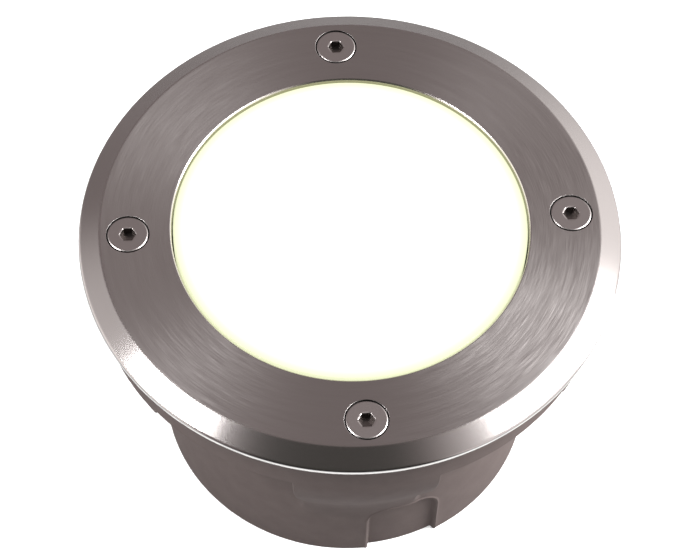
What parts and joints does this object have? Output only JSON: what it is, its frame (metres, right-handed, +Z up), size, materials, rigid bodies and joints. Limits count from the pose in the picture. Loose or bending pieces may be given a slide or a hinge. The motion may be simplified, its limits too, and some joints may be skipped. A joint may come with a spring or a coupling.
{
  "type": "in ground well light",
  "caption": "Round recessed ground light: a stepped plastic pot holds a sealed lamp unit with a thick frosted lens under a brushed steel cover ring with countersunk screws.",
  "frame": {"origin": "on the light's axis, at the lower edge of the pot", "axes": "+Z up along the axis, out of the ground; the cover screws lie on +X, +Y, -X and -Y; the pictured front is -Y"},
  "size_m": [0.15, 0.15, 0.092],
  "materials": {
    "pot_plastic": "fine matt grain",
    "insert_brass": "knurled, plain",
    "cast_aluminium": "cast, powder grey",
    "seal_rubber": "matt",
    "frosted_glass": "frosted underside, clear rim",
    "opal_plastic": "opal",
    "reflector_white": "white gloss",
    "plain_aluminium": "plain sheet",
    "thermal_rubber": "soft grey",
    "board_white": "white solder mask",
    "chip_phosphor": "yellow phosphor",
    "plug_white": "moulded",
    "zinc_steel": "zinc plated",
    "driver_black": "moulded",
    "board_green": "solder mask",
    "transformer_yellow": "taped winding",
    "capacitor_sleeve": "shrunk sleeve",
    "block_cream": "moulded",
    "clamp_brass": "turned",
    "tinned_copper": "tinned",
    "wire_brown": "insulation",
    "wire_blue": "insulation",
    "wire_green": "insulation",
    "wire_red": "insulation",
    "wire_black": "insulation",
    "gland_plastic": "moulded",
    "ring_steel": "turned, concentric brushing",
    "screw_steel": "plain stainless",
    "nylon": "plain"
  },
  "bodies": {
    "pot": {"mounting_pot": "pot_plastic", "pot_inserts": "insert_brass"},
    "lamp_unit": {"lamp_housing": "cast_aluminium", "lens_gasket": "seal_rubber", "glass_lens": "frosted_glass", "cover_gasket": "seal_rubber", "diffuser_plate": "opal_plastic", "reflector": "reflector_white", "heat_spreader": "plain_aluminium", "thermal_pad": "thermal_rubber", "led_board": "board_white", "led_chips": "chip_phosphor", "led_plug": "plug_white", "spreader_screws": "zinc_steel", "board_screws": "zinc_steel", "driver_case": "driver_black", "driver_lid": "driver_black", "driver_board": "board_green", "driver_transformer": "transformer_yellow", "driver_capacitor": "capacitor_sleeve", "driver_screws": "zinc_steel", "terminal_block": "block_cream", "terminal_clamps": "clamp_brass", "terminal_screws": "zinc_steel", "terminal_fixing_screw": "zinc_steel", "earth_lug": "tinned_copper", "earth_screw": "clamp_brass", "wire_live": "wire_brown", "wire_neutral": "wire_blue", "wire_earth": "wire_green", "wire_led_plus": "wire_red", "wire_led_minus": "wire_black", "gland_body": "gland_plastic", "gland_washer": "seal_rubber", "gland_lock_nut": "gland_plastic", "gland_seal": "seal_rubber", "gland_nut": "gland_plastic"},
    "cover": {"cover_ring": "ring_steel", "screw_washers": "nylon"},
    "screw_1": {"cover_screw_1": "screw_steel"},
    "screw_2": {"cover_screw_2": "screw_steel"},
    "screw_3": {"cover_screw_3": "screw_steel"},
    "screw_4": {"cover_screw_4": "screw_steel"}
  },
  "joints": [
    {"name": "lamp_lift", "type": "slide", "parent": "pot", "child": "lamp_unit", "axis": [0, 0, 1], "range_m": [0, 0.1]},
    {"name": "cover_lift", "type": "slide", "parent": "lamp_unit", "child": "cover", "axis": [0, 0, 1], "range_m": [0, 0.04]},
    {"name": "screw_1_release", "type": "slide", "parent": "cover", "child": "screw_1", "axis": [0, 0, 1], "range_m": [0, 0.0125]},
    {"name": "screw_2_release", "type": "slide", "parent": "cover", "child": "screw_2", "axis": [0, 0, 1], "range_m": [0, 0.0125]},
    {"name": "screw_3_release", "type": "slide", "parent": "cover", "child": "screw_3", "axis": [0, 0, 1], "range_m": [0, 0.0125]},
    {"name": "screw_4_release", "type": "slide", "parent": "cover", "child": "screw_4", "axis": [0, 0, 1], "range_m": [0, 0.0125]}
  ]
}
